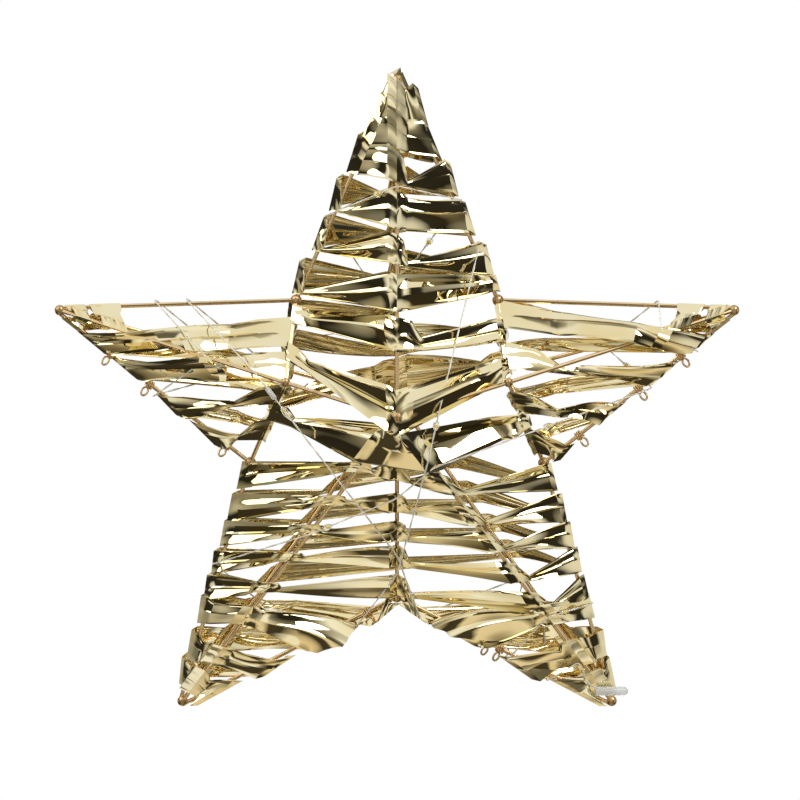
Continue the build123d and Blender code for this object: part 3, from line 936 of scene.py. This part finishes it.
def film_rows(contacts, film, arm, chance):
    """The film's cross lines from its first wire to its last."""
    holds = holds_of(contacts, film, chance)
    rows = []
    for hold, following in zip(holds, holds[1:]):
        span = (following.seat - hold.seat).length
        drawn = film.neck_width if hold.length <= film.width else hold.length * FLAKE_NECK_SHARE
        keys = span_sections(hold, following, drawn, min(film.neck_reach, span * NECK_LAST_SHARE))
        creasing = 1 if keys[FAN_STAGE].outer.dot(FRONT) > 0 else BACK_CREASE_SHARE
        creasing *= min(1, (span / FULL_CREASE_SPAN) ** 2)
        lines = span_lines(keys, span_creases(film, creasing, chance), arm)
        if hold.low_sign < 0:
            lines = [line[::-1] for line in lines]
        rows.extend(lines[1:] if rows else lines)
    return rows


def plain_mesh(source, name):
    """An object's evaluated shape as a plain mesh; the object itself goes."""
    depsgraph = bpy.context.evaluated_depsgraph_get()
    depsgraph.update()
    made = bpy.data.meshes.new_from_object(source.evaluated_get(depsgraph), depsgraph=depsgraph)
    made.name = name
    bpy.data.objects.remove(source)
    return made


def smooth_between(mesh, crease):
    """Smooth shading, kept sharp where faces meet at more than the crease angle."""
    mesh.polygons.foreach_set("use_smooth", [True] * len(mesh.polygons))
    mesh.set_sharp_from_angle(angle=crease)


def film_mesh(name, rows):
    """The film as a thin closed sheet with crisp creases."""
    points = [point for row in rows for point in row]
    stride = len(rows[0])
    faces = []
    for row in range(len(rows) - 1):
        for column in range(stride - 1):
            corner = row * stride + column
            faces.append((corner, corner + 1, corner + stride + 1, corner + stride))
    mesh = bpy.data.meshes.new(name)
    mesh.from_pydata(points, [], faces)
    sheet = bpy.data.objects.new(name + "_sheet", mesh)
    bpy.context.scene.collection.objects.link(sheet)
    thick = sheet.modifiers.new("film", "SOLIDIFY")
    thick.thickness = FILM_T
    thick.offset = 0
    made = plain_mesh(sheet, name)
    smooth_between(made, FILM_CREASE)
    return made


OVER_RIDGES = {"ribbon_left_arm": "left", "ribbon_right_arm": "right"}
for number, (name, contacts) in enumerate(RIBBONS.items()):
    chance = random.Random(FIRST_SEED + SEED_STEP * number)
    rows = film_rows(contacts, FILMS[name], OVER_RIDGES.get(name), chance)
    piece(f"film_{name}", film_mesh(name, rows), FILM, "ribbon_film", name)


# Light string

def light_stops():
    """The route's corners at each wire: one over a ridge, and one each side of an outline wire."""
    stops = []
    faces = [WIRES[name].outward for name, place in LIGHT_ROUTE_SHARES]
    last = len(LIGHT_ROUTE_SHARES) - 1
    for number, (name, place) in enumerate(LIGHT_ROUTE_SHARES):
        wire = WIRES[name]
        rise = LIGHT_RISE if number in LIGHT_CROSSINGS else 0
        offset = LIGHT_BARE_OFFSET if name.endswith("upper") else LIGHT_OFFSET
        here = wire.at(place) + wire.outward * (offset + rise)
        first = FRONT if faces[number - 1].dot(FRONT) > 0 else -FRONT
        if not name.startswith("edge"):
            stops.append([here])
        elif number < last:
            stops.append([here + first * LIGHT_EDGE_HALF_WIDTH, here - first * LIGHT_EDGE_HALF_WIDTH])
        else:
            stops.append([here + first * LIGHT_EDGE_HALF_WIDTH])
    return stops


def run_place(run, share):
    """A point on a straight run of the light string and the run's direction."""
    start = STOPS[run][-1]
    end = STOPS[run + 1][0]
    return start.lerp(end, share), (end - start).normalized()


STOPS = light_stops()
SLEEVE_NEAR = (WIRES["edge_right_leg_outer"].at(SLEEVE_PLACE_SHARE) + FRONT * SLEEVE_STANDOFF
               + RIGHT * (SLEEVE_OVERHANG - SLEEVE_LENGTH))


class Nodes:
    """A geometry tree with named lengths as inputs, built socket by socket."""

    def __init__(self, name, lengths):
        self.lengths = lengths
        self.tree = bpy.data.node_groups.new(name, "GeometryNodeTree")
        sockets = self.tree.interface
        sockets.new_socket("Geometry", in_out="INPUT", socket_type="NodeSocketGeometry")
        for label in lengths:
            sockets.new_socket(label, in_out="INPUT", socket_type="NodeSocketFloat")
        sockets.new_socket("Geometry", in_out="OUTPUT", socket_type="NodeSocketGeometry")
        self.start = self.tree.nodes.new("NodeGroupInput")

    def add(self, kind, settings=None, inputs=None, output=0):
        made = self.tree.nodes.new(kind)
        for key, value in (settings or {}).items():
            setattr(made, key, value)
        for key, value in (inputs or {}).items():
            if isinstance(value, bpy.types.NodeSocket):
                self.tree.links.new(value, made.inputs[key])
            else:
                made.inputs[key].default_value = value
        return made.outputs[output]

    def given(self, label):
        return self.start.outputs[label]

    def math(self, operation, first, second):
        return self.add("ShaderNodeMath", {"operation": operation}, {0: first, 1: second})

    def resampled(self, step):
        """The given line, cut into even steps."""
        return self.add("GeometryNodeResampleCurve", {"mode": "LENGTH"},
                        {"Curve": self.given("Geometry"), "Length": step})

    def join(self, *shapes):
        made = self.tree.nodes.new("GeometryNodeJoinGeometry")
        for shape in shapes:
            self.tree.links.new(shape, made.inputs[0])
        return made.outputs[0]

    def end(self, line, profile, paint):
        """Ends the tree with a profile swept along a line, smooth and painted."""
        mesh = self.add("GeometryNodeCurveToMesh", None,
                        {"Curve": line, "Profile Curve": profile, "Fill Caps": True})
        smooth = self.add("GeometryNodeSetShadeSmooth", None, {0: mesh})
        real = self.add("GeometryNodeRealizeInstances", None, {0: smooth})
        painted = self.add("GeometryNodeSetMaterial", None, {"Geometry": real, "Material": paint})
        out = self.tree.nodes.new("NodeGroupOutput")
        self.tree.links.new(painted, out.inputs[0])

    def apply(self, source, name):
        """The tree's result on an object, with its inputs set, as a plain mesh."""
        modifier = source.modifiers.new(name, "NODES")
        modifier.node_group = self.tree
        for item in self.tree.interface.items_tree:
            if item.name in self.lengths:
                modifier[item.identifier] = self.lengths[item.name]
        return plain_mesh(source, name)


def twisted_pair_nodes():
    """Two strands twisted together along a line."""
    nodes = Nodes("twisted_pair", {"Strand": STRAND_D, "Pitch": TWIST_PITCH})
    length = nodes.add("GeometryNodeSplineParameter", output=1)
    turns = nodes.math("DIVIDE", length, nodes.given("Pitch"))
    angle = nodes.math("MULTIPLY", turns, math.tau)
    line = nodes.resampled(STRAND_STEP)
    twisted = nodes.add("GeometryNodeSetCurveTilt", None, {"Curve": line, "Tilt": angle})
    half = nodes.math("MULTIPLY", nodes.given("Strand"), 0.5)
    ring = nodes.add("GeometryNodeCurvePrimitiveCircle", None, {"Resolution": STRAND_SIDES, "Radius": half})
    strands = []
    for side in (1, -1):
        place = nodes.add("ShaderNodeCombineXYZ", None, {"X": nodes.math("MULTIPLY", half, side)})
        strands.append(nodes.add("GeometryNodeTransform", None, {"Geometry": ring, "Translation": place}))
    nodes.end(twisted, nodes.join(*strands), STRAND)
    return nodes


def line_object(name, kind, points):
    """A line object with the given points, straight between them or controlled by them."""
    curve = bpy.data.curves.new(name, "CURVE")
    curve.dimensions = "3D"
    spline = curve.splines.new(kind)
    spline.points.add(len(points) - 1)
    for point, place in zip(spline.points, points):
        point.co = (*place, 1)
    if kind == "NURBS":
        spline.order_u = LINE_ORDER
        spline.use_endpoint_u = True
        spline.resolution_u = LINE_RESOLUTION
    made = bpy.data.objects.new(name, curve)
    bpy.context.scene.collection.objects.link(made)
    return made


def smooth_line(name, points):
    """A line object through the points of a spline that the given points control."""
    mesh = plain_mesh(line_object(name + "_control", "NURBS", points), name)
    return line_object(name, "POLY", [vertex.co for vertex in mesh.vertices])


def light_route():
    """The string's control points: its stops, and a point on each long run near the wires at its ends."""
    points = [SLEEVE_NEAR + RIGHT * SLEEVE_GRIP, SLEEVE_NEAR - RIGHT * LEAD_IN]
    points.extend(STOPS[0])
    for stop, following in zip(STOPS, STOPS[1:]):
        run = following[0] - stop[-1]
        if run.length > LIGHT_LONG_RUN:
            points.append(stop[-1] + run.normalized() * LIGHT_EASE)
            points.append(following[0] - run.normalized() * LIGHT_EASE)
        points.extend(following)
    return points


pair = twisted_pair_nodes().apply(smooth_line("light_route", light_route()), "light_pair")
piece("light_pair", pair, STRAND, "light_wire", "light_wire")


def lathe(name, profile_shares, length, radius, places, sides=TURNED_SIDES):
    """A turned shape, repeated at places of (middle, axis)."""
    points = []
    faces = []
    for middle, axis in places:
        turn = axis.to_track_quat("Z", "Y").to_matrix()
        first = len(points)
        for along_share, radius_share in profile_shares:
            along = (along_share - 0.5) * length
            reach = radius_share * radius
            for side in range(sides):
                angle = math.tau * side / sides
                point = Vector((reach * math.cos(angle), reach * math.sin(angle), along))
                points.append(middle + turn @ point)
        last = len(points) - sides
        for ring in range(first, last, sides):
            for side in range(sides):
                after = (side + 1) % sides
                faces.append((ring + side, ring + after, ring + sides + after, ring + sides + side))
        faces.append(tuple(first + side for side in reversed(range(sides))))
        faces.append(tuple(last + side for side in range(sides)))
    mesh = bpy.data.meshes.new(name)
    mesh.from_pydata(points, [], faces)
    smooth_between(mesh, TURNED_CREASE)
    return mesh


bead_places = [run_place(run, share) for run, share in BEAD_SHARES]
beads = lathe("resin_beads", BEAD_PROFILE_SHARES, BEAD_LENGTH, BEAD_R, bead_places)
piece("resin_beads", beads, RESIN, "clear_resin", "light_beads")
chips = lathe("light_chips", CHIP_PROFILE_SHARES, CHIP_SIZE, CHIP_SIZE / 2, bead_places, CHIP_SIDES)
piece("light_chips", chips, CHIP, "clear_resin")
splice = lathe("splice_tube", SPLICE_PROFILE_SHARES, SPLICE_LENGTH, SPLICE_R, [run_place(*SPLICE_SHARES)])
piece("splice_tube", splice, SLEEVE, "clear_sleeve", "splice_sleeve")
sleeve_place = (SLEEVE_NEAR + RIGHT * (SLEEVE_LENGTH / 2), RIGHT)
sleeve = lathe("end_tube", SLEEVE_PROFILE_SHARES, SLEEVE_LENGTH, SLEEVE_R, [sleeve_place], SLEEVE_SIDES)
piece("end_tube", sleeve, SLEEVE, "clear_sleeve", "end_sleeve")


# Wire eyes: turns round an outline wire that rise into a loop

def eye_points(wire, share):
    """The line of one eye's wire: turns round the edge, then a loop standing out from it."""
    centre = wire.at(share)
    along = wire.direction
    outward = wire.outward
    side = along.cross(outward)
    radius = WIRE_R + EYE_WIRE_R * EYE_FIT_SHARE
    pitch = EYE_WIRE_R * EYE_PITCH_SHARE
    points = []
    for step in range(EYE_TURNS * EYE_STEPS + 1):
        angle = math.tau * step / EYE_STEPS
        rise = (step / EYE_STEPS - EYE_TURNS / 2) * pitch
        points.append(centre + along * rise + (outward * math.cos(angle) + side * math.sin(angle)) * radius)
    lean = along * math.cos(EYE_TILT) + FRONT * math.sin(EYE_TILT)
    ring_centre = centre + outward * (radius + EYE_RING_R + EYE_WIRE_R)
    for step in range(1, EYE_STEPS + EYE_OVERLAP_STEPS + 1):
        angle = math.pi + math.tau * step / EYE_STEPS
        points.append(ring_centre + (outward * math.cos(angle) + lean * math.sin(angle)) * EYE_RING_R)
    return points


def round_wire_nodes():
    """A round wire of a given radius along a line."""
    nodes = Nodes("round_wire", {"Radius": EYE_WIRE_R})
    ring = nodes.add("GeometryNodeCurvePrimitiveCircle", None,
                     {"Resolution": EYE_SIDES, "Radius": nodes.given("Radius")})
    nodes.end(nodes.resampled(EYE_LINE_STEP), ring, GOLD_WIRE)
    return nodes


round_wire = round_wire_nodes()
for label, name, share in EYE_SHARES:
    line = smooth_line(label + "_line", eye_points(WIRES[name], share))
    piece(f"wound_{label}", round_wire.apply(line, label), GOLD_WIRE, "gold_wire", label)


# Frame nodes that stay as they are get their finish
for name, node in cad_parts.items():
    if node.hide_render:
        continue
    node.data.materials.clear()
    node.data.materials.append(BRAZE if "weld" in name else GOLD_WIRE)
    node.data.polygons.foreach_set("use_smooth", [True] * len(node.data.polygons))


# Studio: white to the camera and, to the film, a room of white and dark panels above a warm table

def seen_directly(tree):
    """1 for rays from the camera or through clear pieces, and 0 for mirrored rays and those that light."""
    camera_ray = tree.node("ShaderNodeLightPath", output="Is Camera Ray")
    through = tree.node("ShaderNodeLightPath", output="Is Transmission Ray")
    return tree.node("ShaderNodeClamp", None, {"Value": camera_ray + through})


def add_floor():
    """A pale floor that the film doesn't mirror."""
    mesh = bpy.data.meshes.new("floor")
    half = FLOOR_SIZE / 2
    corners = [(-half, -half, FLOOR_Z), (half, -half, FLOOR_Z), (half, half, FLOOR_Z), (-half, half, FLOOR_Z)]
    mesh.from_pydata(corners, [], [(0, 1, 2, 3)])
    made = bpy.data.objects.new("floor", mesh)
    bpy.context.scene.collection.objects.link(made)
    paint, tree = material("pale_floor")
    pale = tree.node("ShaderNodeBsdfDiffuse", None, {"Color": FLOOR_COLOUR})
    white = tree.node("ShaderNodeEmission", None, {"Color": WHITE, "Strength": 1.0})
    to_output(tree, tree.node("ShaderNodeMixShader", None, {0: seen_directly(tree), 1: pale, 2: white}))
    mesh.materials.append(paint)
    made.visible_glossy = False


def add_world():
    """White where it is seen directly, and elsewhere the room, its ceiling and the table."""
    world = bpy.data.worlds.new("studio")
    bpy.context.scene.world = world
    tree = Tree(world)
    way = tree.node("ShaderNodeTexCoord", output="Generated")
    side = tree.node("ShaderNodeSeparateXYZ", None, {0: way}, output="X") * 0.5 + 0.5
    height = tree.node("ShaderNodeSeparateXYZ", None, {0: way}, output="Z")
    walls = tree.ramp(side, ROOM_STOPS)
    table = tree.mix(1.0, tree.ramp(side, TABLE_STOPS), WOOD_TINT, "MULTIPLY")
    below = 1 - height.between(*TABLE_EDGE)
    room = tree.mix(height.between(*CEILING_EDGE), tree.mix(below, walls, table), CEILING_COLOUR)
    colour = tree.mix(seen_directly(tree), room, WHITE)
    back = tree.node("ShaderNodeBackground", None, {"Color": colour, "Strength": 1.0})
    to_output(tree, back, "ShaderNodeOutputWorld")


def add_lamp(name, place, size, power):
    """A round soft lamp that points at the star."""
    lamp = bpy.data.lights.new(name, "AREA")
    lamp.shape = "DISK"
    lamp.size = size
    lamp.energy = power
    made = bpy.data.objects.new(name, lamp)
    made.location = place
    made.rotation_euler = (AIM - Vector(place)).to_track_quat("-Z", "Y").to_euler()
    bpy.context.scene.collection.objects.link(made)


def add_camera():
    """A camera in front of the star, a little above its middle."""
    lens = bpy.data.cameras.new("camera")
    lens.sensor_width = SENSOR_WIDTH_MM
    lens.lens = SENSOR_WIDTH_MM * CAMERA_DISTANCE / FRAME_WIDTH
    lens.clip_start, lens.clip_end = CLIP_RANGE
    made = bpy.data.objects.new("camera", lens)
    back = Vector((0, -math.cos(CAMERA_ELEVATION), math.sin(CAMERA_ELEVATION)))
    made.location = AIM + back * CAMERA_DISTANCE
    made.rotation_euler = (-back).to_track_quat("-Z", "Y").to_euler()
    bpy.context.scene.collection.objects.link(made)
    bpy.context.scene.camera = made


add_floor()
add_world()
for name, (place, size, power) in LAMPS.items():
    add_lamp(name, place, size, power)
add_camera()
bpy.context.scene.view_settings.view_transform = "Standard"
